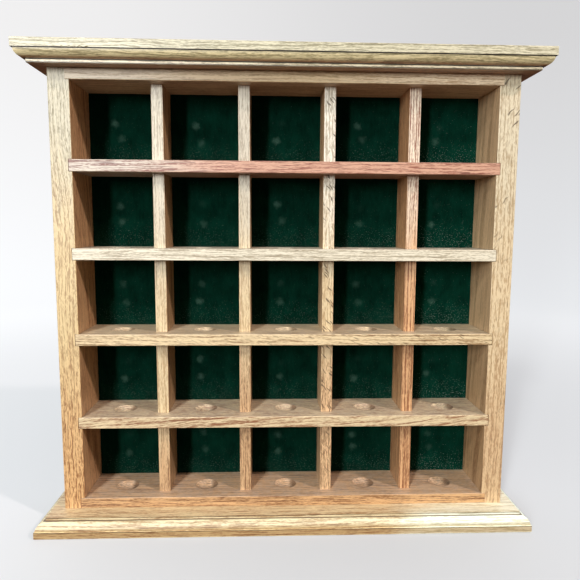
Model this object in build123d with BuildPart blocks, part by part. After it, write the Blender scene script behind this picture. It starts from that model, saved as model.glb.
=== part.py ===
"""An oak display case for twenty-five balls: an egg-crate of cells between two moulded boards.

Millimetres. X runs along the width, Y from the front to the wall, Z up. The origin is the middle of
the underside, half way between the base board's front edge and the wall.
"""

from build123d import *

import os

# The cells, and the seat in the floor of each
columns = 5
rows = 5
cell_width = 57.6
cell_height = 58.0
seat_sphere_radius = 21.35
seat_depth = 2.2

# The case boards
case_depth = 50.8
side_thickness = 16.0
rail_thickness = 8.3
shelf_thickness = 9.0
divider_thickness = 9.0
divider_setback = 10.8
housing_depth = 3.0
housing_gap = 0.2
housing_end_gap = 0.4
joint_gap = 0.1
edge_ease = 0.5

# The back, let into the sides from behind
rabbet_width = 6.0
panel_thickness = 3.2
panel_inset = 1.3
panel_gap = 0.5
felt_thickness = 1.0

# The moulded boards. From the flat face next to the case outwards: a step, a quarter round, a ledge
# and a plain edge.
moulding_radius = 6.35
crown_thickness = 15.1
crown_front_overhang = 12.2
crown_side_overhang = 9.9
crown_step = 2.3
crown_ledge = 1.2
base_thickness = 13.7
base_front_overhang = 15.0
base_side_overhang = 9.8
base_step = 1.9
base_ledge = 0.7

# Countersunk wood screws, two into each end of each side
screw_length = 35.0
screw_diameter = 3.5
screw_head_diameter = 7.0
screw_tip = 5.0
screw_recess_width = 0.9
screw_recess_length = 3.8
screw_recess_depth = 1.3
screw_end_distance = 12.0
screw_sink = 0.3
plug_diameter = 9.5
plug_length = 5.0
hole_gap = 0.05

# Brads round the edge of the back panel, and the nails of the hangers
brad_length = 16.0
brad_diameter = 1.2
brad_head_diameter = 2.2
brads_up_each_side = 4
brads_along_each_rail = 3
brad_corner_distance = 24.0
hanger_nail_length = 12.0
hanger_nail_diameter = 1.4
hanger_nail_head_diameter = 2.8
nail_head_thickness = 0.4

# Sawtooth hangers, let into the crown's rear edge so that they don't stand behind it
hanger_spacing = 200.0
hanger_length = 44.0
hanger_height = 6.5
hanger_thickness = 0.8
hanger_tab = 7.0
hanger_bow = 1.9
hanger_lift = 7.2
hanger_tooth_pitch = 2.8
hanger_tooth_depth = 1.4
hanger_teeth = 7
hanger_side_gap = 1.0
hanger_rear_gap = 0.3

# Sizes that follow
inner_width = columns * cell_width + (columns - 1) * divider_thickness
inner_height = rows * cell_height + (rows - 1) * shelf_thickness
case_width = inner_width + 2 * side_thickness
case_height = inner_height + 2 * rail_thickness
rabbet_depth = panel_inset + panel_thickness + felt_thickness
cell_depth = case_depth - rabbet_depth
crossing_depth = cell_depth - divider_setback
crown_reach = crown_front_overhang + moulding_radius + crown_ledge
base_reach = base_front_overhang + moulding_radius + base_ledge
rail_length = inner_width + 2 * (housing_depth - joint_gap)
shelf_length = inner_width + 2 * (housing_depth - housing_end_gap)
panel_width = inner_width + 2 * (rabbet_width - panel_gap)
panel_height = case_height - 2 * panel_gap
hanger_recess_depth = hanger_bow + hanger_thickness + hanger_rear_gap

# Places that follow
wall_y = (case_depth + max(crown_reach, base_reach)) / 2
front_y = wall_y - case_depth
felt_y = front_y + cell_depth
divider_front_y = front_y + divider_setback
seat_y = front_y + cell_depth / 2
case_bottom_z = base_thickness
floor_z = case_bottom_z + rail_thickness
ceiling_z = floor_z + inner_height
case_top_z = case_bottom_z + case_height
crown_top_z = case_top_z + crown_thickness
column_pitch = cell_width + divider_thickness
row_pitch = cell_height + shelf_thickness
cell_centres_x = [(i - (columns - 1) / 2) * column_pitch for i in range(columns)]
divider_centres_x = [(i - columns / 2) * column_pitch for i in range(1, columns)]
shelf_bottoms_z = [floor_z + i * row_pitch - shelf_thickness for i in range(1, rows)]

# Screws stand in the middle of what the end housings leave of each side.
screw_x = inner_width / 2 + (side_thickness + housing_depth) / 2
screw_ys = (front_y + screw_end_distance, wall_y - rabbet_depth - screw_end_distance)
screw_places = [(x, y) for x in (-screw_x, screw_x) for y in screw_ys]

# Brads go through the panel into the rabbets of the sides and the rear edges of the two rails.
brad_x = inner_width / 2 + rabbet_width / 2
brad_low_z = case_bottom_z + brad_corner_distance
brad_step_z = (case_height - 2 * brad_corner_distance) / (brads_up_each_side - 1)
brad_step_x = inner_width / brads_along_each_rail
side_brads = [
    (x, brad_low_z + i * brad_step_z) for x in (-brad_x, brad_x) for i in range(brads_up_each_side)
]
rail_brads = [
    ((i - (brads_along_each_rail - 1) / 2) * brad_step_x, z)
    for z in (case_bottom_z + rail_thickness / 2, case_top_z - rail_thickness / 2)
    for i in range(brads_along_each_rail)
]
panel_rear_y = wall_y - panel_inset

hanger_centres_x = (-hanger_spacing / 2, hanger_spacing / 2)
hanger_floor_y = wall_y - hanger_recess_depth
hanger_nail_offset = (hanger_length - hanger_tab) / 2
hanger_nails_z = case_top_z + hanger_lift + hanger_height / 2
hanger_nail_places = [
    (centre + side * hanger_nail_offset, hanger_nails_z)
    for centre in hanger_centres_x
    for side in (-1, 1)
]


def upright_plane(y):
    """The plane across the case at depth y, with X to the right and Z up; its normal faces the front."""
    return Plane.XZ.offset(-y)


def front_edges(board, direction):
    """The edges along a board's front face that run in one direction."""
    return board.edges().filter_by(direction).group_by(Axis.Y)[0]


def seat_centres(top_z):
    """Centres of the spheres that leave the seats in a floor whose top is at this height."""
    return [(x, seat_y, top_z + seat_sphere_radius - seat_depth) for x in cell_centres_x]


def nail_holes(places, y, diameter):
    """The outlines of holes at X and Z places in the plane at depth y."""
    with BuildSketch(upright_plane(y)) as holes:
        with Locations(*places):
            Circle(diameter / 2 + hole_gap)
    return holes.sketch


def side_board():
    """The left side: housings for the shelves and rails, a rabbet for the back, and screw holes."""
    inner_x = -inner_width / 2
    with BuildPart() as side:
        with BuildSketch(Plane.XY.offset(case_bottom_z)):
            with Locations((inner_x, front_y)):
                Rectangle(side_thickness, case_depth, align=(Align.MAX, Align.MIN))
            with Locations((inner_x, wall_y)):
                Rectangle(
                    rabbet_width, rabbet_depth, align=(Align.MAX, Align.MAX), mode=Mode.SUBTRACT
                )
        extrude(amount=case_height)
        fillet(front_edges(side, Axis.Z), radius=edge_ease)
        with BuildSketch(Plane.XZ.offset(-front_y)):
            with Locations(*[(inner_x, z - housing_gap) for z in shelf_bottoms_z]):
                Rectangle(housing_depth, shelf_thickness + 2 * housing_gap, align=(Align.MAX, Align.MIN))
            with Locations((inner_x, case_bottom_z)):
                Rectangle(housing_depth, rail_thickness + joint_gap, align=(Align.MAX, Align.MIN))
            with Locations((inner_x, case_top_z)):
                Rectangle(housing_depth, rail_thickness + joint_gap, align=(Align.MAX, Align.MAX))
        extrude(amount=-case_depth, mode=Mode.SUBTRACT)
        for end_z, direction in ((case_bottom_z, 1), (case_top_z, -1)):
            with BuildSketch(Plane.XY.offset(end_z)):
                with Locations(*[(-screw_x, y) for y in screw_ys]):
                    Circle(screw_diameter / 2 + hole_gap)
            extrude(amount=direction * screw_length, mode=Mode.SUBTRACT)
        own_places = [(x, z) for x, z in side_brads if x < 0]
        extrude(
            nail_holes(own_places, felt_y, brad_diameter), amount=brad_length, mode=Mode.SUBTRACT
        )
    return side.part


def rail_board(bottom_z, seats):
    """The case's own bottom or top, housed in the sides; the bottom one has the lowest row's seats."""
    with BuildPart() as rail:
        with BuildSketch(Plane.XY.offset(bottom_z)):
            with Locations((0, front_y)):
                Rectangle(rail_length, cell_depth, align=(Align.CENTER, Align.MIN))
        extrude(amount=rail_thickness)
        fillet(front_edges(rail, Axis.X), radius=edge_ease)
        if seats:
            with Locations(*seat_centres(bottom_z + rail_thickness)):
                Sphere(seat_sphere_radius, mode=Mode.SUBTRACT)
        top_z = bottom_z + rail_thickness
        own_places = [(x, z) for x, z in rail_brads if bottom_z < z < top_z]
        extrude(
            nail_holes(own_places, felt_y, brad_diameter), amount=brad_length, mode=Mode.SUBTRACT
        )
    return rail.part


def shelf_board(bottom_z):
    """A shelf, housed in the sides and notched from behind for the dividers."""
    with BuildPart() as shelf:
        with BuildSketch(Plane.XY.offset(bottom_z)):
            with Locations((0, front_y)):
                Rectangle(shelf_length, cell_depth, align=(Align.CENTER, Align.MIN))
            with Locations(*[(x, felt_y) for x in divider_centres_x]):
                Rectangle(
                    divider_thickness + 2 * joint_gap,
                    crossing_depth / 2,
                    align=(Align.CENTER, Align.MAX),
                    mode=Mode.SUBTRACT,
                )
        extrude(amount=shelf_thickness)
        fillet(front_edges(shelf, Axis.X), radius=edge_ease)
        with Locations(*seat_centres(bottom_z + shelf_thickness)):
            Sphere(seat_sphere_radius, mode=Mode.SUBTRACT)
    return shelf.part


def divider_board(centre_x):
    """A divider as high as the inside, notched from the front for the shelves."""
    with BuildPart() as divider:
        with BuildSketch(Plane.XY.offset(floor_z)):
            with Locations((centre_x, divider_front_y)):
                Rectangle(divider_thickness, crossing_depth, align=(Align.CENTER, Align.MIN))
        extrude(amount=inner_height)
        fillet(front_edges(divider, Axis.Z), radius=edge_ease)
        with BuildSketch(Plane.XZ.offset(-divider_front_y)):
            with Locations(*[(centre_x, z - joint_gap) for z in shelf_bottoms_z]):
                Rectangle(
                    divider_thickness, shelf_thickness + 2 * joint_gap, align=(Align.CENTER, Align.MIN)
                )
        extrude(amount=-crossing_depth / 2, mode=Mode.SUBTRACT)
    return divider.part


def overhanging(plane_z, front_overhang, side_overhang):
    """The outline of a board at one height that overhangs the case's front and sides."""
    width = case_width + 2 * side_overhang
    depth = case_depth + front_overhang
    with BuildSketch(Plane.XY.offset(plane_z)) as outline:
        with Locations((0, wall_y)):
            Rectangle(width, depth, align=(Align.CENTER, Align.MAX))
    return outline.sketch


def moulded_edges(board, height_z):
    """The edges at one height that run along a moulded board's front and two ends."""
    level = board.edges().filter_by_position(Axis.Z, height_z, height_z)
    return level.sort_by(Axis.Y)[:-1]


def moulded_board(flat_z, up, thickness, front_overhang, side_overhang, step, ledge):
    """A board routed on its front and ends; up is 1 where it stands on its flat face, -1 below it."""
    round_z = flat_z + up * step
    edge_z = round_z + up * moulding_radius
    far_z = flat_z + up * thickness
    reach = moulding_radius + ledge
    flat = overhanging(flat_z, front_overhang, side_overhang)
    rounded = overhanging(round_z, front_overhang + moulding_radius, side_overhang + moulding_radius)
    outer = overhanging(edge_z, front_overhang + reach, side_overhang + reach)
    with BuildPart() as board:
        extrude(rounded, amount=far_z - round_z)
        fillet(moulded_edges(board, round_z), radius=moulding_radius)
        extrude(outer, amount=far_z - edge_z)
        fillet(moulded_edges(board, far_z), radius=edge_ease)
        extrude(flat, amount=round_z - flat_z)
    return board.part


def fastener(outline):
    """A solid turned about Z from its outline of radius and height, head upwards, top at zero."""
    with BuildPart() as turned:
        with BuildSketch(Plane.XZ):
            with BuildLine():
                Polyline(*outline, close=True)
            make_face()
        revolve(axis=Axis.Z)
    return turned.part


def wood_screw():
    """A countersunk wood screw with a cross recess, its thread left out."""
    head_height = (screw_head_diameter - screw_diameter) / 2
    with BuildPart() as screw:
        add(
            fastener(
                [
                    (0, 0),
                    (screw_head_diameter / 2, 0),
                    (screw_diameter / 2, -head_height),
                    (screw_diameter / 2, screw_tip - screw_length),
                    (0, -screw_length),
                ]
            )
        )
        with BuildSketch(Plane.XY):
            Rectangle(screw_recess_length, screw_recess_width)
            Rectangle(screw_recess_width, screw_recess_length)
        extrude(amount=-screw_recess_depth, mode=Mode.SUBTRACT)
    return screw.part


def nail(length, diameter, head_diameter):
    """A round nail with a thin flat head."""
    return fastener(
        [
            (0, 0),
            (head_diameter / 2, 0),
            (head_diameter / 2, -nail_head_thickness),
            (diameter / 2, -nail_head_thickness),
            (diameter / 2, 2 * diameter - length),
            (0, -length),
        ]
    )


def group(solid, places):
    """One solid repeated at each place."""
    with BuildPart() as several:
        with Locations(*places):
            add(solid)
    return several.part


def nailed_from_behind(solid, places, y):
    """Nails repeated at X and Z places, their heads' outer faces at depth y."""
    return group(solid, [Location((x, y, z), (-90, 0, 0)) for x, z in places])


def sawtooth_hanger(centre_x):
    """A strip bowed out between its two nailed tabs, with teeth along its lower edge."""
    half = hanger_length / 2
    knee = half - hanger_tab
    bottom_z = case_top_z + hanger_lift
    wood_side = [
        (-half, 0),
        (-knee, 0),
        (-knee + hanger_bow, hanger_bow),
        (knee - hanger_bow, hanger_bow),
        (knee, 0),
        (half, 0),
    ]
    wall_side = [(x, y + hanger_thickness) for x, y in reversed(wood_side)]
    first_tooth = centre_x - (hanger_teeth - 1) / 2 * hanger_tooth_pitch
    teeth = [(first_tooth + i * hanger_tooth_pitch, bottom_z) for i in range(hanger_teeth)]
    with BuildPart() as hanger:
        with BuildSketch(Plane((centre_x, hanger_floor_y, bottom_z))):
            with BuildLine():
                Polyline(*wood_side, *wall_side, close=True)
            make_face()
        extrude(amount=hanger_height)
        with BuildSketch(upright_plane(wall_y)):
            with Locations(*teeth):
                Polygon(
                    (-hanger_tooth_pitch / 2, 0),
                    (hanger_tooth_pitch / 2, 0),
                    (0, hanger_tooth_depth),
                    align=(Align.CENTER, Align.MIN),
                )
        extrude(amount=hanger_recess_depth, mode=Mode.SUBTRACT)
        own_nails = [(x, z) for x, z in hanger_nail_places if abs(x - centre_x) < half]
        extrude(
            nail_holes(own_nails, wall_y, hanger_nail_diameter),
            amount=hanger_recess_depth,
            mode=Mode.SUBTRACT,
        )
    return hanger.part


def crown():
    """The moulded board on top, with plugged screw holes and the hangers' recesses."""
    moulded = moulded_board(
        case_top_z, 1, crown_thickness, crown_front_overhang, crown_side_overhang, crown_step, crown_ledge
    )
    with BuildPart() as board:
        add(moulded)
        with Locations(*[(x, y, crown_top_z - plug_length) for x, y in screw_places]):
            CounterSinkHole(screw_diameter / 2 + hole_gap, screw_head_diameter / 2 + hole_gap)
        with BuildSketch(Plane.XY.offset(crown_top_z)):
            with Locations(*screw_places):
                Circle(plug_diameter / 2)
        extrude(amount=-plug_length, mode=Mode.SUBTRACT)
        with BuildSketch(upright_plane(wall_y)):
            with Locations(*[(x, case_top_z) for x in hanger_centres_x]):
                Rectangle(
                    hanger_length + 2 * hanger_side_gap,
                    hanger_lift + hanger_height + hanger_side_gap,
                    align=(Align.CENTER, Align.MIN),
                )
        extrude(amount=hanger_recess_depth, mode=Mode.SUBTRACT)
        extrude(
            nail_holes(hanger_nail_places, hanger_floor_y, hanger_nail_diameter),
            amount=hanger_nail_length,
            mode=Mode.SUBTRACT,
        )
    return board.part


def base():
    """The moulded board below, screwed on from its underside."""
    moulded = moulded_board(
        case_bottom_z, -1, base_thickness, base_front_overhang, base_side_overhang, base_step, base_ledge
    )
    with BuildPart() as board:
        add(moulded)
        with Locations(*[Location((x, y, 0), (180, 0, 0)) for x, y in screw_places]):
            CounterSinkHole(
                screw_diameter / 2 + hole_gap, screw_head_diameter / 2 + screw_sink + hole_gap
            )
    return board.part


def back_sheet(front_face_y, thickness):
    """A flat sheet in the rabbet, with a hole for each brad."""
    with BuildPart() as sheet:
        with BuildSketch(upright_plane(front_face_y)):
            with Locations((0, (case_bottom_z + case_top_z) / 2)):
                Rectangle(panel_width, panel_height)
        extrude(amount=-thickness)
        extrude(
            nail_holes(side_brads + rail_brads, front_face_y + thickness, brad_diameter),
            amount=thickness,
            mode=Mode.SUBTRACT,
        )
    return sheet.part


def screw_plugs():
    """Round plugs that close the crown's screw holes flush with its top."""
    with BuildPart() as plugs:
        with BuildSketch(Plane.XY.offset(crown_top_z)):
            with Locations(*screw_places):
                Circle(plug_diameter / 2 - hole_gap)
        extrude(amount=-plug_length)
    return plugs.part


left_side = side_board()
with BuildPart() as right_side:
    mirror(left_side, about=Plane.YZ)

screw = wood_screw()
brad = nail(brad_length, brad_diameter, brad_head_diameter)
hanger_nail = nail(hanger_nail_length, hanger_nail_diameter, hanger_nail_head_diameter)
screw_heads_in_crown = [Location((x, y, crown_top_z - plug_length)) for x, y in screw_places]
screw_heads_in_base = [Location((x, y, screw_sink), (180, 0, 0)) for x, y in screw_places]

pieces = {
    "left_side": left_side,
    "right_side": right_side.part,
    "top_board": rail_board(ceiling_z, seats=False),
    "bottom_board": rail_board(case_bottom_z, seats=True),
    "crown_board": crown(),
    "base_board": base(),
    "felt_lining": back_sheet(felt_y, felt_thickness),
    "back_panel": back_sheet(felt_y + felt_thickness, panel_thickness),
    "back_panel_brads": nailed_from_behind(
        brad, side_brads + rail_brads, panel_rear_y + nail_head_thickness
    ),
    "crown_screws": group(screw, screw_heads_in_crown),
    "crown_screw_plugs": screw_plugs(),
    "base_screws": group(screw, screw_heads_in_base),
    "left_hanger": sawtooth_hanger(hanger_centres_x[0]),
    "right_hanger": sawtooth_hanger(hanger_centres_x[1]),
    "hanger_nails": nailed_from_behind(
        hanger_nail, hanger_nail_places, hanger_floor_y + hanger_thickness + nail_head_thickness
    ),
}
for number, bottom_z in enumerate(reversed(shelf_bottoms_z), start=1):
    pieces[f"shelf_{number}"] = shelf_board(bottom_z)
for number, centre_x in enumerate(divider_centres_x, start=1):
    pieces[f"divider_{number}"] = divider_board(centre_x)

os.makedirs("parts", exist_ok=True)
for name, piece in pieces.items():
    piece.label = name
    export_step(piece, f"parts/{name}.step")
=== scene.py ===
"""The oak display case: finishes, felt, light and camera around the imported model. Metres."""

import math
import random

import bmesh
import bpy
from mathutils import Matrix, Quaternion, Vector


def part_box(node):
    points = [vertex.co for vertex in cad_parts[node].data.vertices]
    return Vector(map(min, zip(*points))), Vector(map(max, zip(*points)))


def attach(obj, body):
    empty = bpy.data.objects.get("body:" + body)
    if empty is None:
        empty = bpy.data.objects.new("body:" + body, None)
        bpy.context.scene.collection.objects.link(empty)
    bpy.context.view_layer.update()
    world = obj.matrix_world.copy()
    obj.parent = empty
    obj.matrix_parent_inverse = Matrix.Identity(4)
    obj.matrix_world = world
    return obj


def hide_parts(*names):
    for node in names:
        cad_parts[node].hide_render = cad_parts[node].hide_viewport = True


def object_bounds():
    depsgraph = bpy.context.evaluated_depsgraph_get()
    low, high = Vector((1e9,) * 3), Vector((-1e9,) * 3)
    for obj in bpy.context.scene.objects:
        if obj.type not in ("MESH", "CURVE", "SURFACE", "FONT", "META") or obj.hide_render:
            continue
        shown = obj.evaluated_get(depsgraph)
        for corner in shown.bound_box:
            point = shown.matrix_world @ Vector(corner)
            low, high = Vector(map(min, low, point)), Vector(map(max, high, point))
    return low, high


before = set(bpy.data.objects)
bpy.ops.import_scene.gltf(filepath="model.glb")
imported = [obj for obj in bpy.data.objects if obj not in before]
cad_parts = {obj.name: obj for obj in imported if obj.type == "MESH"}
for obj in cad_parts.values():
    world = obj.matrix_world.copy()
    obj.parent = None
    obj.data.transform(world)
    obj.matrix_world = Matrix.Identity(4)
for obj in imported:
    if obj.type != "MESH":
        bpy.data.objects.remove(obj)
cad_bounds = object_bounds()
MM = 0.001

# The camera, placed from the case's front
CAMERA_TO_CASE_FRONT = 0.4326
CAMERA_LEFT_OF_MIDDLE = 0.0138
CAMERA_BELOW_TOP_BOARD = 0.1068
CAMERA_YAW = math.radians(2.153)
CAMERA_PITCH_DOWN = math.radians(6.589)
CAMERA_ROLL = math.radians(0.311)
CAMERA_LENS = 34.58
SENSOR_WIDTH = 36.0


class Graph:
    """One node tree, with short calls that make a node and hand back its output."""

    def __init__(self, tree):
        self.tree = tree

    def node(self, kind, inputs=None, **settings):
        """A node with its settings, and its inputs given as numbers, colours or other outputs."""
        made = self.tree.nodes.new(kind)
        for name, value in settings.items():
            setattr(made, name, value)
        for name, value in (inputs or {}).items():
            self.feed(made.inputs[name], value)
        return made

    def feed(self, socket, value):
        """Links an output to a socket, or writes a plain value into it."""
        if isinstance(value, bpy.types.NodeSocket):
            self.tree.links.new(value, socket)
        else:
            socket.default_value = value

    def math(self, operation, *values, clamp=False):
        """A scalar sum, product or other function of up to three values."""
        inputs = dict(enumerate(values))
        return self.node("ShaderNodeMath", inputs, operation=operation, use_clamp=clamp).outputs[0]

    def vector(self, operation, *values):
        """A vector function of up to three vectors."""
        inputs = dict(enumerate(values))
        return self.node("ShaderNodeVectorMath", inputs, operation=operation).outputs[0]

    def scaled(self, vector, factor):
        """A vector or a colour times a number."""
        if isinstance(vector, tuple):
            vector = vector[:3]
        inputs = {"Vector": vector, "Scale": factor}
        return self.node("ShaderNodeVectorMath", inputs, operation="SCALE").outputs[0]

    def length(self, vector):
        """The length of a vector."""
        return self.node("ShaderNodeVectorMath", {0: vector}, operation="LENGTH").outputs["Value"]

    def parts(self, vector):
        """The X, Y and Z of a vector."""
        return self.node("ShaderNodeSeparateXYZ", {0: vector}).outputs

    def join(self, x, y, z):
        """A vector from three values."""
        return self.node("ShaderNodeCombineXYZ", {0: x, 1: y, 2: z}).outputs[0]

    def noise_node(self, vector, stretch, detail, roughness):
        """A noise texture whose grains are about as large as stretch in each direction."""
        inputs = {
            "Vector": self.vector("DIVIDE", vector, stretch),
            "Scale": 1.0,
            "Detail": detail,
            "Roughness": roughness,
        }
        return self.node("ShaderNodeTexNoise", inputs, noise_dimensions="3D")

    def noise(self, vector, stretch, detail=1.0, roughness=0.5):
        """Noise from 0 to 1."""
        return self.noise_node(vector, stretch, detail, roughness).outputs["Fac"]

    def drift(self, vector, stretch, amount):
        """A slowly changing offset across the grain, up to about half of amount each way."""
        colour = self.noise_node(vector, stretch, 1.0, 0.5).outputs["Color"]
        centred = self.vector("SUBTRACT", colour, (0.5, 0.5, 0.5))
        return self.scaled(self.vector("MULTIPLY", centred, (1.0, 1.0, 0.0)), amount)

    def step(self, value, low, high, to_low=0.0, to_high=1.0):
        """A smooth step from to_low to to_high as value goes from low to high."""
        inputs = {"Value": value, "From Min": low, "From Max": high, "To Min": to_low, "To Max": to_high}
        return self.node("ShaderNodeMapRange", inputs, interpolation_type="SMOOTHSTEP").outputs[0]

    def mix(self, factor, first, second, blend_type="MIX"):
        """A colour between two colours."""
        made = self.node("ShaderNodeMix", data_type="RGBA", blend_type=blend_type, clamp_factor=True)
        self.feed(made.inputs[0], factor)
        self.feed(made.inputs[6], first)
        self.feed(made.inputs[7], second)
        return made.outputs[2]


def rgb(red, green, blue):
    """A colour given as an eye sees it, from 0 to 255, as the linear colour that shaders use."""
    linear = []
    for value in (red, green, blue):
        share = value / 255
        linear.append(share / 12.92 if value <= 10 else ((share + 0.055) / 1.055) ** 2.4)
    return (*linear, 1.0)


def new_material(name):
    """An empty material with its principled shader: the material, its graph and the shader."""
    material = bpy.data.materials.new(name)
    material.use_nodes = True
    graph = Graph(material.node_tree)
    shader = material.node_tree.nodes["Principled BSDF"]
    return material, graph, shader


def dress(node, material):
    """Gives a CAD node its material."""
    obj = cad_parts[node]
    obj.data.materials.clear()
    obj.data.materials.append(material)


# Places in the frame, in millimetres

def box_mm(node):
    """A CAD node's lowest and highest corners in millimetres."""
    low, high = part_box(node)
    return low / MM, high / MM


SIDE_LOW, SIDE_HIGH = box_mm("left_side")
SHELF_LOW, SHELF_HIGH = box_mm("shelf_4")
DIVIDER_LOW, DIVIDER_HIGH = box_mm("divider_1")
CROWN_LOW, CROWN_HIGH = box_mm("crown_board")
BASE_LOW, BASE_HIGH = box_mm("base_board")
FRONT_Y = SIDE_LOW.y
FELT_Y = SHELF_HIGH.y
SEAT_Y = (FRONT_Y + FELT_Y) / 2
SEAT_RADIUS = 9.45
COLUMN_PITCH = box_mm("divider_2")[0].x - DIVIDER_LOW.x
ROW_PITCH = box_mm("shelf_3")[0].z - SHELF_LOW.z
CELL_WIDTH = COLUMN_PITCH - (DIVIDER_HIGH.x - DIVIDER_LOW.x)
CELL_HEIGHT = ROW_PITCH - (SHELF_HIGH.z - SHELF_LOW.z)
INNER_RIGHT = box_mm("right_side")[1].x - (SIDE_HIGH.x - SIDE_LOW.x)
FLOOR_Z = box_mm("bottom_board")[1].z


# Oak

def oak_group():
    """The figure of ring-porous wood in millimetres, its grain along Z: colour, roughness and height."""
    tree = bpy.data.node_groups.new("oak_figure", "ShaderNodeTree")
    for name, kind in (
        ("Place", "NodeSocketVector"),
        ("Pith", "NodeSocketVector"),
        ("Ring", "NodeSocketFloat"),
        ("Wave", "NodeSocketFloat"),
        ("Bands", "NodeSocketFloat"),
        ("Pores", "NodeSocketFloat"),
        ("Streaks", "NodeSocketFloat"),
        ("Pale", "NodeSocketColor"),
        ("Deep", "NodeSocketColor"),
    ):
        tree.interface.new_socket(name, in_out="INPUT", socket_type=kind)
    for name, kind in (
        ("Color", "NodeSocketColor"),
        ("Roughness", "NodeSocketFloat"),
        ("Height", "NodeSocketFloat"),
    ):
        tree.interface.new_socket(name, in_out="OUTPUT", socket_type=kind)
    g = Graph(tree)
    given = g.node("NodeGroupInput").outputs
    straight = given["Place"]

    # The grain wanders slowly along the board, and a little in short waves.
    place = g.vector("ADD", straight, g.drift(straight, (40.0, 40.0, 130.0), given["Wave"]))
    short_wave = g.math("MULTIPLY", given["Wave"], 0.2)
    place = g.vector("ADD", place, g.drift(straight, (6.0, 6.0, 20.0), short_wave))
    along = g.parts(place)[2]

    # Rings lie round the pith at uneven distances, some clear and some faint. Each starts with open
    # early wood that fades out.
    from_pith = g.parts(g.vector("SUBTRACT", place, given["Pith"]))
    radius = g.length(g.join(from_pith[0], from_pith[1], 0.0))
    uneven = g.noise(g.join(radius, g.math("MULTIPLY", along, 0.01), 0.0), (5.0, 5.0, 5.0), detail=2.0)
    turns = g.math("ADD", g.math("DIVIDE", radius, given["Ring"]), g.math("MULTIPLY", uneven, 1.6))
    year = g.math("FRACT", turns)
    number = g.math("FLOOR", turns)
    clear = g.node("ShaderNodeTexWhiteNoise", {"W": number}, noise_dimensions="1D").outputs["Value"]
    early = g.math("MULTIPLY", g.step(year, 0.0, 0.10), g.step(year, 0.14, 0.50, 1.0, 0.0))
    early = g.math("MULTIPLY", early, g.math("MULTIPLY_ADD", clear, 0.6, 0.4))

    # Pores: thin open grooves along the grain, crowded in beads along the early wood
    beads = g.step(g.noise(place, (0.8, 0.8, 4.2), detail=0.0), 0.36, 0.62)
    chain = g.math("MULTIPLY", early, beads)
    few = g.math("MULTIPLY_ADD", chain, -0.17, 0.66)
    fine = g.noise(place, (0.28, 0.28, 5.0))
    pores = g.math("MULTIPLY", g.math("SUBTRACT", fine, few), 7.0, clamp=True)

    # Lines of fibres, short beads, bands and slow patches of tone
    fibres = g.noise(place, (0.42, 0.42, 6.0), detail=2.0, roughness=0.6)
    lines = g.noise(place, (0.78, 0.78, 30.0), detail=1.0)
    bands = g.noise(place, (3.2, 3.2, 120.0), detail=1.0)
    beaded = g.noise(place, (0.65, 0.65, 2.6), detail=1.0)
    patches = g.noise(place, (17.0, 17.0, 120.0))
    open_wood = g.math("MULTIPLY_ADD", chain, 0.6, g.math("MULTIPLY", early, 0.5))
    tone = g.math("MULTIPLY_ADD", open_wood, given["Bands"], 0.16)
    for layer, strength in ((patches, 0.7), (bands, 1.4), (lines, 3.5), (beaded, 1.6), (fibres, 2.4)):
        tone = g.math("MULTIPLY_ADD", g.math("SUBTRACT", layer, 0.5), strength, tone)
    tone = g.math("ADD", tone, 0.0, clamp=True)

    colour = g.mix(tone, given["Pale"], given["Deep"])
    dark = g.scaled(given["Deep"], 0.62)
    streaks = g.step(g.noise(place, (0.75, 0.75, 34.0)), 0.61, 0.68)
    colour = g.mix(g.math("MULTIPLY", streaks, given["Streaks"], clamp=True), colour, dark)
    colour = g.mix(g.math("MULTIPLY", pores, given["Pores"], clamp=True), colour, dark)

    roughness = g.math("MULTIPLY_ADD", pores, 0.3, g.step(early, 0.0, 1.0, 0.42, 0.52))
    height = g.math("MULTIPLY_ADD", fibres, 0.3, g.math("MULTIPLY", early, -0.25))
    height = g.math("MULTIPLY_ADD", pores, -1.0, height)
    done = g.node("NodeGroupOutput")
    g.feed(done.inputs["Color"], colour)
    g.feed(done.inputs["Roughness"], roughness)
    g.feed(done.inputs["Height"], height)
    return tree


OAK = oak_group()
ACROSS = {"x": "yzx", "z": "xyz"}
DUST = (0.54, 0.48, 0.405, 1)


def place_mm(g):
    """The place on the object in millimetres."""
    return g.scaled(g.node("ShaderNodeTexCoord").outputs["Object"], 1 / MM)


def seat_masks(g, place, facing_up):
    """Where a board's round seats are, and where their rims are, from 0 to 1."""
    x, y, z = g.parts(place)
    across = g.math("WRAP", x, COLUMN_PITCH / 2, -COLUMN_PITCH / 2)
    away = g.length(g.join(across, g.math("SUBTRACT", y, SEAT_Y), 0.0))
    inside = g.math("MULTIPLY", g.step(away, SEAT_RADIUS - 0.5, SEAT_RADIUS, 1.0, 0.0), facing_up)
    rim = g.math("ABSOLUTE", g.math("SUBTRACT", away, SEAT_RADIUS))
    return inside, g.math("MULTIPLY", g.step(rim, 0.15, 0.75, 1.0, 0.0), facing_up)


STROKE_REACH = 0.34


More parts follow.
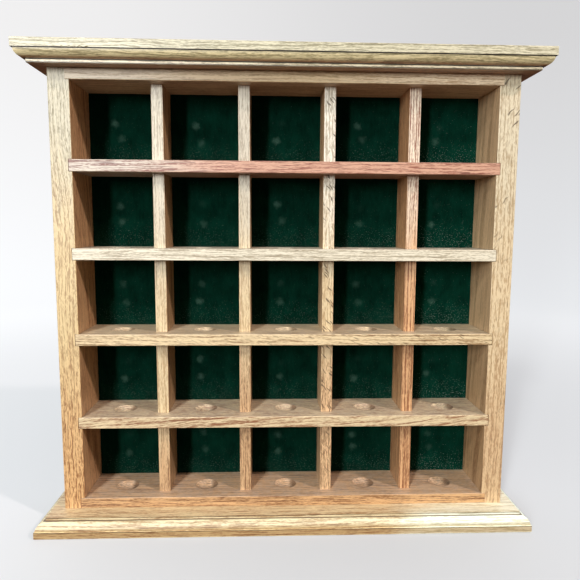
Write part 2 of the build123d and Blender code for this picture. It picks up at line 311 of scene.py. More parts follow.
def strokes(g, side, along, angle, length, width, share):
    """Short tapered strokes at an angle to the grain, from 0 to 1, in a share of the places for one."""
    turn = math.radians(angle)
    ahead = g.math("MULTIPLY_ADD", side, math.sin(turn), g.math("MULTIPLY", along, math.cos(turn)))
    across = g.math("MULTIPLY_ADD", side, math.cos(turn), g.math("MULTIPLY", along, -math.sin(turn)))
    bend = g.noise(g.join(across, 0.0, ahead), (3.0, 3.0, 5.0), detail=0.0)
    across = g.math("MULTIPLY_ADD", g.math("SUBTRACT", bend, 0.5), 2 * width, across)
    spacing = (width / 2 / STROKE_REACH, length / 2 / STROKE_REACH, 1.0)
    spaced = g.vector("DIVIDE", g.join(across, ahead, 0.0), spacing)
    cells = g.node("ShaderNodeTexVoronoi", {"Vector": spaced, "Scale": 1.0}, voronoi_dimensions="2D")
    kept = g.math("LESS_THAN", g.parts(cells.outputs["Color"])[0], share)
    stroke = g.step(cells.outputs["Distance"], STROKE_REACH / 2, STROKE_REACH, 1.0, 0.0)
    return g.math("MULTIPLY", stroke, kept)


def turned(g, place, along, tones, change, where=1.0):
    """A board's two tones, and two others that take over from one place along the grain to another."""
    pale_to, deep_to, start, end = change
    wander = g.math("MULTIPLY_ADD", g.noise(place, (4.0, 4.0, 60.0)), 60.0, g.math("SUBTRACT", along, 30.0))
    share = g.math("MULTIPLY", g.step(wander, start, end), where)
    return [g.mix(share, tone, tone_to) for tone, tone_to in zip(tones, (pale_to, deep_to))]


def oak(
    name, grain, pale, deep, pith, ring=2.6, wave=9.0, bands=1.0, pores=0.8, streaks=0.35, lean=(0.0, 0.0),
    turning=(), sheen_and_bleach=(), rays=(), heights=(), seats=False, wear_and_glint=0.5, dust=1.0,
):
    """One board's oak, in millimetres. Its grain runs along x or z and leans by lean.

    pith is the tree's middle, across the grain, ring the width of a year and wave how far the grain
    wanders. bands, pores, streaks, the arrises' wear and dust say how strong each of those is; the pale
    arrises also paint the highlight their rounding catches.
    turning lists other pale and deep colours, each with the two places along the grain between which it
    takes over; the lit-face list does the same on what light reaches: the front, the top and the ends of a
    board that lies. Those lit-face colours are painted sheen and painted light, together with some of the
    wood's own bleaching.
    rays lists strokes on the front: their angle to the grain, length, width, darkness and share, and
    the places along the grain where they are darkest and where they have faded out.
    heights lists layers of a moulding: its lowest and highest z, and the tints there, which paint shade
    into its creases and under its ledges and paint highlights onto its fillets and rounds.
    """
    material, g, shader = new_material(name)
    place = place_mm(g)
    axes = dict(zip("xyz", g.parts(place)))
    u, v, w = (axes[axis] for axis in ACROSS[grain])
    seed = sum(ord(letter) * (i + 3) for i, letter in enumerate(name)) % 613
    shifted = g.math("ADD", w, seed * 11.0)
    leaning = g.join(
        g.math("MULTIPLY_ADD", w, lean[0], u),
        g.math("MULTIPLY_ADD", w, lean[1], v),
        shifted,
    )
    normal = dict(zip("xyz", g.parts(g.node("ShaderNodeTexCoord").outputs["Normal"])))
    facing = {axis: g.math("ABSOLUTE", normal[axis]) for axis in "xyz"}
    for change in turning:
        pale, deep = turned(g, leaning, w, (pale, deep), change)
    front = g.step(normal["y"], -0.8, -0.3, 1.0, 0.0)
    up = g.step(normal["z"], 0.3, 0.9)
    lit = g.math("MAXIMUM", front, up)
    if grain == "x":
        lit = g.math("MAXIMUM", lit, g.step(facing["x"], 0.3, 0.8))
    # Painted sheen and light: on the front, the top and a lying board's ends the board takes other colours,
    # which stand for the sheen and light falling there as well as some bleaching.
    for change in sheen_and_bleach:
        pale, deep = turned(g, leaning, w, (pale, deep), change, lit)
    figure = g.node("ShaderNodeGroup", node_tree=OAK)
    for socket, value in (
        ("Place", leaning),
        ("Pith", (*pith, 0.0)),
        ("Ring", ring),
        ("Wave", wave),
        ("Bands", bands),
        ("Pores", pores),
        ("Streaks", streaks),
        ("Pale", pale),
        ("Deep", deep),
    ):
        g.feed(figure.inputs[socket], value)
    colour, roughness, height = (figure.outputs[i] for i in range(3))
    side = axes["x" if grain == "z" else "z"]
    for angle, length, width, darkness, share, full, none in rays:
        marks = strokes(g, side, shifted, angle, length, width, share)
        marks = g.math("MULTIPLY", marks, g.math("MULTIPLY", front, g.step(w, none, full, 0.0, darkness)))
        colour = g.mix(marks, colour, g.scaled(deep, 0.36))
    # Painted shade and highlights: a moulding's creases and ledges are tinted dark, and its fillets and
    # rounds lighter or darker by height.
    for low, high, tint_low, tint_high in heights:
        above = g.step(axes["z"], low - 0.05, low + 0.05)
        below = g.step(axes["z"], high - 0.05, high + 0.05, 1.0, 0.0)
        tint = g.mix(g.step(axes["z"], low, high), (*tint_low, 1), (*tint_high, 1))
        colour = g.mix(g.math("MULTIPLY", above, below), colour, g.vector("MULTIPLY", colour, tint))

    # End grain drinks more finish and is darker and duller.
    end = g.step(facing[grain], 0.55, 0.95)
    colour = g.mix(g.math("MULTIPLY", end, 0.55), colour, g.scaled(colour, 0.55))
    roughness = g.math("MULTIPLY_ADD", end, 0.15, roughness)

    # Eased arrises are rubbed pale, and this paler colour also paints the highlight that their rounding
    # catches.
    if wear_and_glint:
        flat = g.math("MAXIMUM", g.math("MAXIMUM", facing["x"], facing["y"]), facing["z"])
        patchy = g.step(g.noise(place, (9.0, 9.0, 9.0), detail=3.0), 0.35, 0.6, 0.35, 1.0)
        rubbed = g.math("MULTIPLY", g.step(flat, 0.80, 0.98, 1.0, 0.0), patchy)
        colour = g.mix(g.math("MULTIPLY", rubbed, wear_and_glint), colour, g.scaled(pale, 1.25))

    # A little dust lies on whatever faces up.
    settled = g.step(g.noise(place, (5.0, 5.0, 5.0), detail=3.0), 0.3, 0.7, 0.24 * dust, 0.46 * dust)
    colour = g.mix(g.math("MULTIPLY", up, settled), colour, DUST)
    roughness = g.math("MULTIPLY_ADD", up, 0.12, roughness)

    if seats:
        inside, rim = seat_masks(g, place, g.step(normal["z"], 0.3, 0.6))
        torn = g.noise(place, (2.6, 0.7, 0.7), detail=2.0)
        fresh = g.mix(g.step(torn, 0.35, 0.65), g.scaled(colour, 0.85), g.scaled(colour, 1.5))
        # The slopes that face left, on the seat's right side, are darkened: partly their open end grain,
        # partly painted shade.
        end_grain_and_shade = g.step(normal["x"], -0.32, -0.10, 1.0, 0.0)
        fresh = g.mix(g.math("MULTIPLY", end_grain_and_shade, 0.75), fresh, g.scaled(deep, 0.45))
        colour = g.mix(inside, colour, fresh)
        colour = g.mix(g.math("MULTIPLY", rim, 0.3), colour, g.scaled(colour, 0.45))
        height = g.math("MULTIPLY_ADD", g.math("MULTIPLY", inside, torn), 2.0, height)
        roughness = g.math("MULTIPLY_ADD", inside, 0.15, roughness)

    bump = g.node("ShaderNodeBump", {"Strength": 0.6, "Distance": 0.12 * MM, "Height": height})
    g.feed(shader.inputs["Base Color"], colour)
    g.feed(shader.inputs["Roughness"], roughness)
    g.feed(shader.inputs["Normal"], bump.outputs["Normal"])
    shader.inputs["Coat Weight"].default_value = 0.85
    shader.inputs["Coat Roughness"].default_value = 0.52
    return material


WHITE, WHITE_DEEP = rgb(214, 208, 186), rgb(170, 160, 136)
HONEY, HONEY_DEEP = rgb(220, 180, 134), rgb(148, 98, 62)
STRAW, STRAW_DEEP = rgb(224, 206, 164), rgb(182, 154, 112)
TAN, TAN_DEEP = rgb(206, 171, 128), rgb(132, 96, 62)
BLUSH, BLUSH_DEEP = rgb(208, 164, 138), rgb(144, 86, 66)
AMBER, AMBER_DEEP = rgb(220, 176, 128), rgb(142, 92, 56)
OLIVE, OLIVE_DEEP = rgb(220, 198, 164), rgb(164, 134, 102)

CROWN_FILLET = 2.3
BASE_FILLET = 1.9
ROUND = 6.35
CROWN_FACE = CROWN_HIGH.z - CROWN_LOW.z - CROWN_FILLET - ROUND
BASE_FACE = BASE_HIGH.z - BASE_LOW.z - BASE_FILLET - ROUND
# Tints that paint shade: the darker one for the crown's creases and ledges, the softer one for the base's.
DARK_SHADE_TINT = (0.05, 0.038, 0.022)
SOFT_SHADE_TINT = (0.17, 0.13, 0.075)
PLAIN = (1.0, 1.0, 1.0)


def layers(start, up, rows):
    """The painted shade and highlight tints of a moulding by height, from its fillet on: each row is a
    thickness and two tints.
    """
    bands = []
    for thickness, tint, end_tint in rows:
        end = start + up * thickness
        bands.append((start, end, tint, end_tint) if up > 0 else (end, start, end_tint, tint))
        start = end
    return bands


# The crown: painted shade under its fillet, in its creases and under its face's ledge, a painted highlight
# on the fillet, and a round painted lighter towards its upper edge and browner towards its lower edge.
CROWN_LAYERS = layers(CROWN_LOW.z, 1, [
    (0.1, PLAIN, PLAIN),
    (0.5, DARK_SHADE_TINT, DARK_SHADE_TINT),
    (CROWN_FILLET - 0.85, (1.75, 1.62, 1.62), (1.75, 1.62, 1.62)),
    (0.45, DARK_SHADE_TINT, DARK_SHADE_TINT),
    (ROUND - 0.6, (1.05, 0.95, 0.76), (1.2, 1.08, 0.88)),
    (0.55, DARK_SHADE_TINT, DARK_SHADE_TINT),
])
# The base: painted shade at its steps and under its ledge, painted highlights on its fillet, the upper part
# of its round, its ledge and its bottom arris, a round darker towards its lower edge, and a face that is
# darker.
BASE_LAYERS = layers(BASE_HIGH.z, -1, [
    (0.1, PLAIN, PLAIN),
    (0.5, SOFT_SHADE_TINT, SOFT_SHADE_TINT),
    (BASE_FILLET - 0.6, (0.95, 1.02, 1.12), (0.95, 1.02, 1.12)),
    (0.2, SOFT_SHADE_TINT, SOFT_SHADE_TINT),
    (ROUND - 0.3, (1.20, 1.42, 1.66), (0.68, 0.62, 0.53)),
    (0.2, (1.3, 1.4, 1.5), (1.3, 1.4, 1.5)),
    (0.55, SOFT_SHADE_TINT, SOFT_SHADE_TINT),
    (BASE_FACE - 1.25, (0.66, 0.56, 0.46), (0.66, 0.56, 0.46)),
    (0.6, (1.3, 1.4, 1.5), (1.3, 1.4, 1.5)),
])


BOARDS = {
    "left_side": dict(
        grain="z", pale=HONEY, deep=HONEY_DEEP, pith=(-262, 10), ring=2.7, wave=10, lean=(0.02, 0.1),
        sheen_and_bleach=[
            (rgb(226, 184, 128), rgb(140, 90, 44), -60, -20),
            (rgb(222, 200, 148), rgb(170, 140, 94), 40, 180),
            (rgb(194, 188, 158), rgb(132, 124, 88), 210, 330),
        ],
    ),
    "right_side": dict(
        grain="z", pale=rgb(197, 163, 121), deep=rgb(152, 117, 81), pith=(60, 20), ring=3.4, wave=2.0,
        bands=1.6, lean=(0, 0.12),
        turning=[(rgb(212, 184, 144), rgb(172, 146, 110), 60, 200)],
        sheen_and_bleach=[
            (rgb(218, 190, 148), rgb(178, 144, 106), -60, -20),
            (rgb(226, 208, 170), rgb(184, 158, 118), 60, 170),
            (rgb(218, 210, 182), rgb(174, 158, 126), 180, 320),
        ],
        rays=[(42, 9, 1.5, 1.0, 0.15, 320, 150), (4, 5, 0.55, 0.7, 0.10, 100, 360)],
    ),
    "divider_1": dict(
        grain="z", pale=TAN, deep=TAN_DEEP, pith=(-190, 30), ring=2.6, wave=7,
        sheen_and_bleach=[(STRAW, STRAW_DEEP, 30, 110), (WHITE, WHITE_DEEP, 160, 280)],
        rays=[(8, 4, 0.7, 0.5, 0.06, 300, 0)],
    ),
    "divider_2": dict(
        grain="z", pale=TAN, deep=TAN_DEEP, pith=(-110, 20), ring=2.2, wave=6, lean=(0.02, 0.06),
        sheen_and_bleach=[(STRAW, STRAW_DEEP, 90, 180), (rgb(202, 197, 178), rgb(158, 148, 126), 180, 290)],
        rays=[(-30, 6, 0.9, 0.5, 0.08, 60, 200)],
    ),
    "divider_3": dict(
        grain="z", pale=rgb(224, 190, 146), deep=rgb(138, 106, 72), pith=(-60, 12), ring=3.2, wave=6,
        lean=(0, 0.1),
        sheen_and_bleach=[(STRAW, STRAW_DEEP, 90, 180), (rgb(238, 236, 222), rgb(174, 164, 140), 180, 290)],
        rays=[(-38, 7, 1.2, 1.0, 0.30, 150, -60)],
    ),
    "divider_4": dict(
        grain="z", pale=AMBER, deep=AMBER_DEEP, pith=(10, 60), ring=2.0, wave=3, bands=2.0,
        sheen_and_bleach=[(rgb(242, 232, 210), rgb(148, 104, 82), 180, 300)],
    ),
    "top_board": dict(
        grain="x", pale=OLIVE, deep=OLIVE_DEEP, pith=(-110, 260), ring=2.8, wave=9,
        sheen_and_bleach=[
            (rgb(204, 189, 156), rgb(160, 138, 104), -400, -300),
            (rgb(200, 177, 134), rgb(157, 130, 89), -120, -60),
            (rgb(214, 192, 149), rgb(171, 144, 101), -50, 10),
            (rgb(244, 228, 196), rgb(190, 162, 124), 10, 130),
        ],
    ),
    "shelf_1": dict(
        grain="x", pale=rgb(204, 195, 178), deep=rgb(128, 82, 68), pith=(-112, 195), ring=2.6, wave=7,
        streaks=0.9, turning=[(BLUSH, BLUSH_DEEP, -130, -40)],
        rays=[(-6, 7, 0.8, 0.6, 0.08, 300, -300)], seats=True,
    ),
    "shelf_2": dict(
        grain="x", pale=rgb(232, 228, 206), deep=rgb(164, 154, 128), pith=(130, 118), ring=3.0, wave=7,
        rays=[(-14, 6, 0.9, 0.45, 0.08, 300, -300)], seats=True,
    ),
    "shelf_3": dict(
        grain="x", pale=rgb(230, 211, 168), deep=rgb(152, 122, 84), pith=(-90, 60), ring=2.6, wave=7,
        streaks=0.3, lean=(0, 0.03), rays=[(-17, 7, 1.1, 1.0, 0.26, 500, -400)], seats=True,
    ),
    "shelf_4": dict(
        grain="x", pale=rgb(224, 207, 167), deep=rgb(144, 98, 64), pith=(120, 180), ring=2.8, wave=7,
        streaks=0.3, lean=(0.03, -0.11), rays=[(12, 11, 0.7, 0.45, 0.16, -400, 300)], seats=True,
    ),
    "bottom_board": dict(
        grain="x", pale=rgb(210, 169, 120), deep=rgb(126, 86, 48), pith=(-100, -60), ring=3.0, wave=7,
        seats=True,
    ),
    "crown_board": dict(
        grain="x", pale=rgb(182, 144, 108), deep=rgb(124, 86, 62), pith=(-60, 270), ring=2.8, wave=12,
        streaks=0.3,
        sheen_and_bleach=[(rgb(213, 211, 182), rgb(146, 142, 112), -400, -300)],
        rays=[(-4, 6, 1.5, 0.42, 0.30, 500, -400), (6, 9, 1.0, 0.6, 0.10, 500, -400)], wear_and_glint=0,
        heights=CROWN_LAYERS,
    ),
    "base_board": dict(
        grain="x", pale=rgb(232, 212, 164), deep=rgb(172, 134, 88), pith=(-80, -90), ring=3.2, wave=10,
        streaks=0.7,
        turning=[(rgb(250, 250, 224), rgb(216, 208, 168), 75, 120)], wear_and_glint=0, dust=0.3,
        heights=BASE_LAYERS,
    ),
}
OAKS = {node: oak("oak_" + node, **look) for node, look in BOARDS.items()}
for node, material in OAKS.items():
    dress(node, material)
dress("crown_screw_plugs", oak("oak_plugs", "x", STRAW, OLIVE_DEEP, (-30, 200)))


# Torn arrises

SPINDLE_SIDES = 7
SPINDLE_RINGS = (0.35, 0.8, 1.0, 0.7, 0.3)


def spindle(rng, middle, length, depth, height):
    """The corners and faces of one splinter's hollow: a ragged spindle along X. Millimetres."""
    points = [(middle[0] - length / 2, middle[1], middle[2])]
    for i, share in enumerate(SPINDLE_RINGS):
        x = middle[0] + length * ((i + 1) / (len(SPINDLE_RINGS) + 1) - 0.5)
        for side in range(SPINDLE_SIDES):
            turn = 2 * math.pi * side / SPINDLE_SIDES
            swell = share * rng.uniform(0.55, 1.0)
            y = middle[1] + depth * swell * math.cos(turn)
            z = middle[2] + height * swell * math.sin(turn)
            points.append((x, y, z))
    points.append((middle[0] + length / 2, middle[1], middle[2]))
    faces = []
    last = len(points) - 1
    for side in range(SPINDLE_SIDES):
        after = (side + 1) % SPINDLE_SIDES
        faces.append((0, 1 + after, 1 + side))
        for ring in range(len(SPINDLE_RINGS) - 1):
            a = 1 + ring * SPINDLE_SIDES
            b = a + SPINDLE_SIDES
            faces.append((a + side, a + after, b + after, b + side))
        faces.append((last, last - SPINDLE_SIDES + side, last - SPINDLE_SIDES + after))
    return points, faces


def torn_board(node, name, seed, arrises):
    """A board that stands for its node, with splinters torn from its long front arrises.

    An arris is its y and z, the x where it starts and ends, and its splinters.
    """
    rng = random.Random(seed)
    points, faces = [], []
    for y, z, x, end, (gaps, lengths, depths, heights) in arrises:
        x += rng.uniform(*gaps)
        while True:
            length = rng.uniform(*lengths)
            if x + length > end:
                break
            depth = rng.uniform(*depths)
            height = rng.uniform(*heights)
            more, sides = spindle(rng, (x + length / 2, y, z), length, depth, height)
            faces += [tuple(corner + len(points) for corner in face) for face in sides]
            points += [tuple(value * MM for value in point) for point in more]
            x += length + rng.uniform(*gaps)
    cutter_mesh = bpy.data.meshes.new(name + "_splinters")
    cutter_mesh.from_pydata(points, [], faces)
    cutter = bpy.data.objects.new(name + "_splinters", cutter_mesh)

    whole = bmesh.new()
    whole.from_mesh(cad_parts[node].data)
    bmesh.ops.remove_doubles(whole, verts=whole.verts, dist=0.005 * MM)
    mesh = bpy.data.meshes.new(name)
    whole.to_mesh(mesh)
    whole.free()
    board = bpy.data.objects.new(name, mesh)
    for obj in (cutter, board):
        bpy.context.scene.collection.objects.link(obj)
    cut = board.modifiers.new("splinters", "BOOLEAN")
    cut.operation = "DIFFERENCE"
    cut.solver = "EXACT"
    cut.object = cutter
    depsgraph = bpy.context.evaluated_depsgraph_get()
    torn = bpy.data.meshes.new_from_object(board.evaluated_get(depsgraph))
    board.modifiers.clear()
    board.data = torn
    bpy.data.objects.remove(cutter)
    torn.attributes.remove(torn.attributes["custom_normal"])
    torn.polygons.foreach_set("use_smooth", [True] * len(torn.polygons))
    torn.set_sharp_from_angle(angle=math.radians(32))
    torn.materials.clear()
    torn.materials.append(OAKS[node])
    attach(board, "root")
    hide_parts(node)
    return board


# Splinters: the ranges of the gaps between them and of their lengths, depths and heights
FEW = ((5.0, 16.0), (1.5, 5.0), (0.2, 0.4), (0.15, 0.35))
FEWER = ((5.0, 26.0), (1.5, 6.0), (0.2, 0.45), (0.15, 0.4))
RAGGED = ((0.1, 0.9), (2.0, 6.0), (0.6, 1.3), (0.6, 1.6))
ON_TOP = ((3.0, 16.0), (1.5, 7.0), (0.3, 0.6), (0.2, 0.45))
RAGGED_FROM = -161.0
RAGGED_TO = -138.0
TORN_SEED = 11
LOW_Z = CROWN_HIGH.z - CROWN_FACE

torn_board("crown_board", "crown_board_torn", TORN_SEED, [
    (CROWN_LOW.y, LOW_Z, CROWN_LOW.x + 6, RAGGED_FROM, FEW),
    (CROWN_LOW.y, LOW_Z, RAGGED_FROM, RAGGED_TO, RAGGED),
    (CROWN_LOW.y, LOW_Z, RAGGED_TO, CROWN_HIGH.x - 6, FEWER),
    (CROWN_LOW.y, CROWN_HIGH.z, CROWN_LOW.x + 4, CROWN_HIGH.x - 4, ON_TOP),
])


# Felt, glued to the back panel and held flat behind the boards' rear edges

FELT_FLUFF = 0.22
FELT_SPACING = 3.0
FELT_MARGIN = 5.0


def between(value, low, high):
    """How far a value is from the nearer of two limits, and 0 outside them."""
    return max(0.0, min(value - low, high - value))


def fluff(x, z, floors):
    """How far the felt stands forward in the middle of a cell, where no board presses it. Millimetres."""
    column = (x + COLUMN_PITCH / 2) % COLUMN_PITCH
    half_board = (COLUMN_PITCH - CELL_WIDTH) / 2
    clear = between(column, half_board, COLUMN_PITCH - half_board) if abs(x) < INNER_RIGHT else 0.0
    clear_up = max(between(z, low, low + CELL_HEIGHT) for low in floors)
    rise = min(1.0, min(clear, clear_up) / FELT_MARGIN)
    smooth = rise * rise * (3 - 2 * rise)
    wave = 0.75 + 0.25 * math.sin(x * 0.31 + z * 0.17) * math.sin(z * 0.23 - x * 0.11)
    return FELT_FLUFF * smooth * wave


def felt_sheet():
    """The felt as one closed thin sheet."""
    low, high = box_mm("felt_lining")
    columns = round((high.x - low.x) / FELT_SPACING)
    rows = round((high.z - low.z) / FELT_SPACING)
    floors = [FLOOR_Z + i * ROW_PITCH for i in range(5)]
    points = []
    for side in (0, 1):
        for i in range(rows + 1):
            z = low.z + (high.z - low.z) * i / rows
            for j in range(columns + 1):
                x = low.x + (high.x - low.x) * j / columns
                y = high.y if side else low.y - fluff(x, z, floors)
                points.append((x * MM, y * MM, z * MM))
    layer = (rows + 1) * (columns + 1)
    faces = []
    for i in range(rows):
        for j in range(columns):
            a = i * (columns + 1) + j
            b = a + columns + 1
            faces.append((a, a + 1, b + 1, b))
            faces.append((layer + a, layer + b, layer + b + 1, layer + a + 1))
    rim = list(range(columns))
    rim += [i * (columns + 1) + columns for i in range(rows)]
    rim += [rows * (columns + 1) + j for j in range(columns, 0, -1)]
    rim += [i * (columns + 1) for i in range(rows, 0, -1)]
    for i, start in enumerate(rim):
        after = rim[(i + 1) % len(rim)]
        faces.append((after, start, layer + start, layer + after))
    mesh = bpy.data.meshes.new("felt")
    mesh.from_pydata(points, [], faces)
    mesh.polygons.foreach_set("use_smooth", [True] * len(mesh.polygons))
    mesh.set_sharp_from_angle(angle=math.radians(40))
    felt = bpy.data.objects.new("felt", mesh)
    bpy.context.scene.collection.objects.link(felt)
    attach(felt, "root")
    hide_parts("felt_lining")
    return felt


# Rubbed spots: their heights above a cell's floor, and the least strength of each
SMUDGES = ((21.0, 0.55), (35.0, 0.10))
SMUDGE_LEFT = 5.0
FELT_GREEN = (0.0012, 0.0168, 0.0102)
RUBBED_GREEN = (0.06, 0.13, 0.10, 1)
LINT_GREY = (0.30, 0.36, 0.31, 1)


def felt_cloth():
    """Dark green wool felt: matted fibres, two faint rubbed spots in each cell, and specks of lint.

    It has more lint towards the right, and is painted brighter there as if more light fell on it.
    """
    material, g, shader = new_material("felt_green")
    place = place_mm(g)
    x, y, z = g.parts(place)
    fibres = g.noise(place, (0.55, 0.55, 0.9), detail=3.0, roughness=0.65)
    clouds = g.noise(place, (11.0, 11.0, 14.0), detail=2.0)
    nap = g.noise(place, (1.6, 1.6, 6.0), detail=2.0)
    tone = g.math("MULTIPLY_ADD", g.math("SUBTRACT", fibres, 0.5), 1.1, 1.0)
    tone = g.math("MULTIPLY_ADD", g.math("SUBTRACT", clouds, 0.5), 1.3, tone)
    tone = g.math("MULTIPLY_ADD", g.math("SUBTRACT", nap, 0.5), 0.7, tone)
    rightwards = g.step(x, 60.0, 130.0)
    # Painted light: the felt is brighter towards the right, as if more light fell there.
    painted_light_right = g.math("MULTIPLY_ADD", rightwards, 0.5, 1.0)
    tone = g.math("MULTIPLY", g.math("MAXIMUM", tone, 0.3), painted_light_right)
    colour = g.scaled(FELT_GREEN, tone)

    across = g.math("WRAP", x, COLUMN_PITCH / 2, -COLUMN_PITCH / 2)
    from_floor = g.math("WRAP", g.math("SUBTRACT", z, FLOOR_Z), ROW_PITCH, 0.0)
    column = g.math("FLOOR", g.math("DIVIDE", g.math("ADD", x, COLUMN_PITCH / 2), COLUMN_PITCH))
    row = g.math("FLOOR", g.math("DIVIDE", g.math("SUBTRACT", z, FLOOR_Z), ROW_PITCH))
    for i, (height, faintest) in enumerate(SMUDGES):
        cell = g.join(column, row, float(i))
        luck = g.node("ShaderNodeTexWhiteNoise", {"Vector": cell}, noise_dimensions="3D")
        shift = g.parts(luck.outputs["Color"])
        off_x = g.math("ADD", across, g.math("MULTIPLY_ADD", shift[0], 6.0, SMUDGE_LEFT - 3.0))
        off_z = g.math("SUBTRACT", from_floor, g.math("MULTIPLY_ADD", shift[1], 5.0, height - 2.5))
        ragged = g.math("SUBTRACT", g.noise(place, (3.0, 3.0, 3.0), detail=3.0), 0.5)
        ragged = g.math("MULTIPLY", ragged, 5.0)
        away = g.math("ADD", g.length(g.join(off_x, off_z, 0.0)), ragged)
        strength = g.step(luck.outputs["Value"], 0.1, 0.9, faintest, 1.0)
        spot = g.math("MULTIPLY", g.step(away, 0.5, 4.6, 1.0, 0.0), strength)
        spot = g.math("MULTIPLY", spot, g.step(fibres, 0.3, 0.7, 0.5, 1.0))
        colour = g.mix(g.math("MULTIPLY", spot, 0.52), colour, RUBBED_GREEN)
    fewer = g.step(from_floor, 4.0, 28.0, 0.66, 0.77)
    specks = g.math("SUBTRACT", g.noise(place, (0.7, 0.7, 0.8), detail=0.0), fewer)
    lint = g.math("MULTIPLY", specks, 14.0, clamp=True)
    more = g.math("MULTIPLY_ADD", rightwards, 0.27, 0.18)
    colour = g.mix(g.math("MULTIPLY", lint, more), colour, LINT_GREY)

    bump = g.node("ShaderNodeBump", {"Strength": 0.7, "Distance": 0.25 * MM, "Height": fibres})
    g.feed(shader.inputs["Base Color"], colour)
    g.feed(shader.inputs["Normal"], bump.outputs["Normal"])
    shader.inputs["Roughness"].default_value = 0.95
    shader.inputs["Specular IOR Level"].default_value = 0.0
    shader.inputs["Sheen Weight"].default_value = 0.06
    shader.inputs["Sheen Roughness"].default_value = 0.5
    shader.inputs["Sheen Tint"].default_value = (0.4, 1.0, 0.7, 1)
    return material


felt_sheet().data.materials.append(felt_cloth())


# Hardboard and metal

SCREEN_TURN = 2 * math.pi / 1.6


def hardboard():
    """Pressed wood fibre with the mark of the press's wire screen, drawn on both faces, though the real
    board is smooth in front.
    """
    material, g, shader = new_material("hardboard_brown")
    place = place_mm(g)
    x, y, z = g.parts(place)
    fibres = g.noise(place, (0.8, 0.8, 1.1), detail=4.0, roughness=0.6)
    strands = g.step(g.noise(place, (0.5, 0.5, 3.5)), 0.62, 0.7)
    clouds = g.noise(place, (40.0, 40.0, 30.0), detail=2.0)
    tone = g.math("ADD", g.math("MULTIPLY", fibres, 0.6), g.math("MULTIPLY", clouds, 0.5), clamp=True)
    colour = g.mix(tone, rgb(104, 70, 46), rgb(146, 104, 70))
    colour = g.mix(g.math("MULTIPLY", strands, 0.5), colour, rgb(84, 54, 36))
    wires_x, wires_z = (g.math("SINE", g.math("MULTIPLY", axis, SCREEN_TURN)) for axis in (x, z))
    weave = g.math("MULTIPLY", wires_x, wires_z)
    screen = g.step(weave, -0.7, 0.7)
    colour = g.mix(g.math("MULTIPLY", g.math("SUBTRACT", 1.0, screen), 0.25), colour, rgb(84, 54, 36))
    height = g.math("MULTIPLY_ADD", fibres, 0.4, screen)
    bump = g.node("ShaderNodeBump", {"Strength": 0.8, "Distance": 0.2 * MM, "Height": height})
    g.feed(shader.inputs["Base Color"], colour)
    g.feed(shader.inputs["Roughness"], g.step(fibres, 0.3, 0.7, 0.55, 0.8))
    g.feed(shader.inputs["Normal"], bump.outputs["Normal"])
    return material


def zinc():
    """Zinc plate on steel: a faintly uneven grey with rubbed, brighter places and fine scratches."""
    material, g, shader = new_material("zinc_plate")
    place = place_mm(g)
    clouds = g.noise(place, (2.2, 2.2, 2.2), detail=3.0)
    scratches = g.step(g.noise(place, (0.12, 1.8, 0.12)), 0.66, 0.74)
    colour = g.mix(g.step(clouds, 0.3, 0.7), (0.42, 0.42, 0.40, 1), (0.66, 0.64, 0.57, 1))
    colour = g.mix(g.math("MULTIPLY", scratches, 0.4), colour, (0.80, 0.79, 0.76, 1))
    roughness = g.step(clouds, 0.3, 0.7, 0.44, 0.27)
    bump = g.node("ShaderNodeBump", {"Strength": 0.35, "Distance": 0.05 * MM, "Height": clouds})
    g.feed(shader.inputs["Base Color"], colour)
    g.feed(shader.inputs["Roughness"], roughness)
    g.feed(shader.inputs["Normal"], bump.outputs["Normal"])
    shader.inputs["Metallic"].default_value = 1.0
    return material


dress("back_panel", hardboard())
zinc_plate = zinc()
METAL = ("back_panel_brads", "crown_screws", "base_screws", "left_hanger", "right_hanger", "hanger_nails")
for node in METAL:
    dress(node, zinc_plate)


# Light, floor and camera

TARGET = Vector((0, FRONT_Y * MM, (cad_bounds[0].z + cad_bounds[1].z) / 2))


def lamp(name, azimuth, elevation, distance, size, irradiance, colour):
    """An area lamp aimed at the case. Azimuth 0 is straight in front and grows to the right.

    Irradiance is what reaches a surface that faces the lamp at the case, in watts per square metre.
    """
    data = bpy.data.lights.new(name, "AREA")
    data.shape = "RECTANGLE"
    data.size, data.size_y = size
    data.energy = irradiance * math.pi * distance**2
    data.color = colour
    obj = bpy.data.objects.new(name, data)
    bpy.context.scene.collection.objects.link(obj)
    turn, rise = math.radians(azimuth), math.radians(elevation)
    towards = Vector((math.sin(turn) * math.cos(rise), -math.cos(turn) * math.cos(rise), math.sin(rise)))
    obj.location = TARGET + towards * distance
    obj.rotation_mode = "QUATERNION"
    obj.rotation_quaternion = (-towards).to_track_quat("-Z", "Y")
    obj.visible_camera = False


LAMP_DISTANCE = 2.2
lamp("key", -21.0, 39.4, LAMP_DISTANCE, (0.10, 0.30), 1.15, (1.0, 0.97, 0.92))
lamp("window", -24.5, 14.0, LAMP_DISTANCE, (0.16, 0.72), 2.15, (1.0, 0.99, 0.98))
lamp("warm_right", 52.0, 39.0, LAMP_DISTANCE, (0.10, 0.10), 1.5, (1.0, 0.80, 0.72))


def add_world():
    """A dim sky, brighter above than below and brightest high behind the case, where no lamp reaches."""
    world = bpy.data.worlds.new("studio")
    bpy.context.scene.world = world
    world.use_nodes = True
    g = Graph(world.node_tree)
    direction = g.parts(g.node("ShaderNodeTexCoord").outputs["Generated"])
    behind, up = direction[1], direction[2]
    background = world.node_tree.nodes["Background"]
    sky = g.mix(g.step(up, -0.2, 0.8), (0.10, 0.056, 0.038, 1), (0.44, 0.44, 0.45, 1))
    back = g.math("MULTIPLY", g.step(behind, 0.1, 0.8), g.step(up, 0.05, 0.45))
    g.feed(background.inputs["Color"], g.mix(back, sky, (1.15, 1.15, 1.17, 1)))


FLOOR_BELOW = 0.2 * MM
FLOOR_RADIUS = 1.5
SWEEP_RADIUS = 1.2
WALL_TOP = 3.0
BOWL_SIDES = 96
SWEEP_STEPS = 16


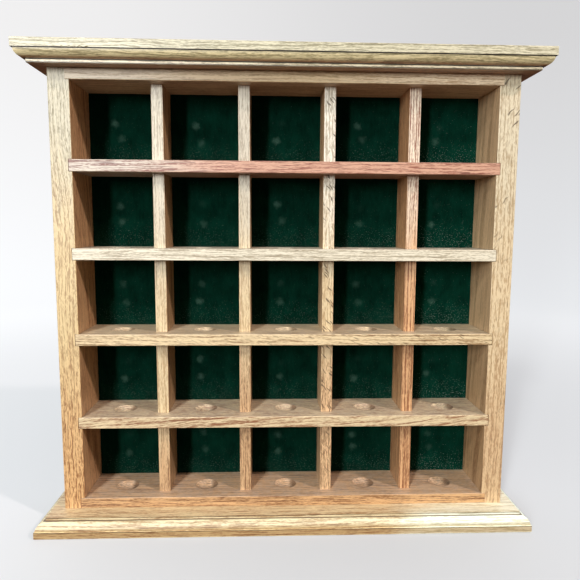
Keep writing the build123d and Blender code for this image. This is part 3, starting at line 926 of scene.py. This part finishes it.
def add_backdrop():
    """A round pale floor that sweeps up into a wall well away from the case. Its glow is painted dimmer
    towards the right and next to the case, a painted shadow.
    """
    profile = [(0.0, 0.0), (FLOOR_RADIUS, 0.0)]
    for i in range(1, SWEEP_STEPS + 1):
        turn = i / SWEEP_STEPS * math.pi / 2
        profile.append((FLOOR_RADIUS + SWEEP_RADIUS * math.sin(turn), SWEEP_RADIUS * (1 - math.cos(turn))))
    profile.append((FLOOR_RADIUS + SWEEP_RADIUS, WALL_TOP))
    points = [(0.0, 0.0, 0.0)]
    for radius, height in profile[1:]:
        for side in range(BOWL_SIDES):
            turn = side / BOWL_SIDES * 2 * math.pi
            points.append((radius * math.cos(turn), radius * math.sin(turn), height))
    faces = [(0, 1 + side, 1 + (side + 1) % BOWL_SIDES) for side in range(BOWL_SIDES)]
    for ring in range(len(profile) - 2):
        start = 1 + ring * BOWL_SIDES
        for side in range(BOWL_SIDES):
            after = (side + 1) % BOWL_SIDES
            above = start + BOWL_SIDES
            faces.append((start + side, above + side, above + after, start + after))
    mesh = bpy.data.meshes.new("backdrop")
    mesh.from_pydata(points, [], faces)
    mesh.polygons.foreach_set("use_smooth", [True] * len(mesh.polygons))
    backdrop = bpy.data.objects.new("backdrop", mesh)
    backdrop.location.z = -FLOOR_BELOW
    bpy.context.scene.collection.objects.link(backdrop)
    material, g, shader = new_material("backdrop_paint")
    x, y, z = g.parts(g.node("ShaderNodeTexCoord").outputs["Object"])
    away = g.length(g.join(x, y, z))
    shader.inputs["Base Color"].default_value = (0.42, 0.455, 0.485, 1)
    shader.inputs["Roughness"].default_value = 0.95
    shader.inputs["Specular IOR Level"].default_value = 0.0
    # Painted shadow: the glow is dimmer towards the right and dimmer still next to the case.
    glow = g.mix(g.step(x, -1.4, 1.4), (0.67, 0.67, 0.67, 1), (0.46, 0.463, 0.467, 1))
    shade_near_case = g.mix(g.step(x, -0.4, 0.1), (0.40, 0.40, 0.40, 1), (0.25, 0.25, 0.25, 1))
    glow = g.mix(g.step(away, 0.3, 1.3), shade_near_case, glow)
    g.feed(shader.inputs["Emission Color"], glow)
    shader.inputs["Emission Strength"].default_value = 1.0
    mesh.materials.append(material)
    backdrop.visible_diffuse = False
    backdrop.visible_glossy = False
    backdrop.visible_shadow = False


def add_camera():
    """The photograph's point of view, measured from the case's front and its top board."""
    data = bpy.data.cameras.new("camera")
    data.sensor_width = SENSOR_WIDTH
    data.lens = CAMERA_LENS
    camera = bpy.data.objects.new("camera", data)
    bpy.context.scene.collection.objects.link(camera)
    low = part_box("top_board")[0]
    camera.location = (
        -CAMERA_LEFT_OF_MIDDLE,
        low.y - CAMERA_TO_CASE_FRONT,
        low.z - CAMERA_BELOW_TOP_BOARD,
    )
    forward = Vector(
        (
            math.sin(CAMERA_YAW) * math.cos(CAMERA_PITCH_DOWN),
            math.cos(CAMERA_YAW) * math.cos(CAMERA_PITCH_DOWN),
            -math.sin(CAMERA_PITCH_DOWN),
        )
    )
    camera.rotation_mode = "QUATERNION"
    camera.rotation_quaternion = forward.to_track_quat("-Z", "Y") @ Quaternion((0, 0, 1), CAMERA_ROLL)
    bpy.context.scene.camera = camera


add_world()
add_backdrop()
add_camera()
bpy.context.scene.view_settings.view_transform = "Standard"
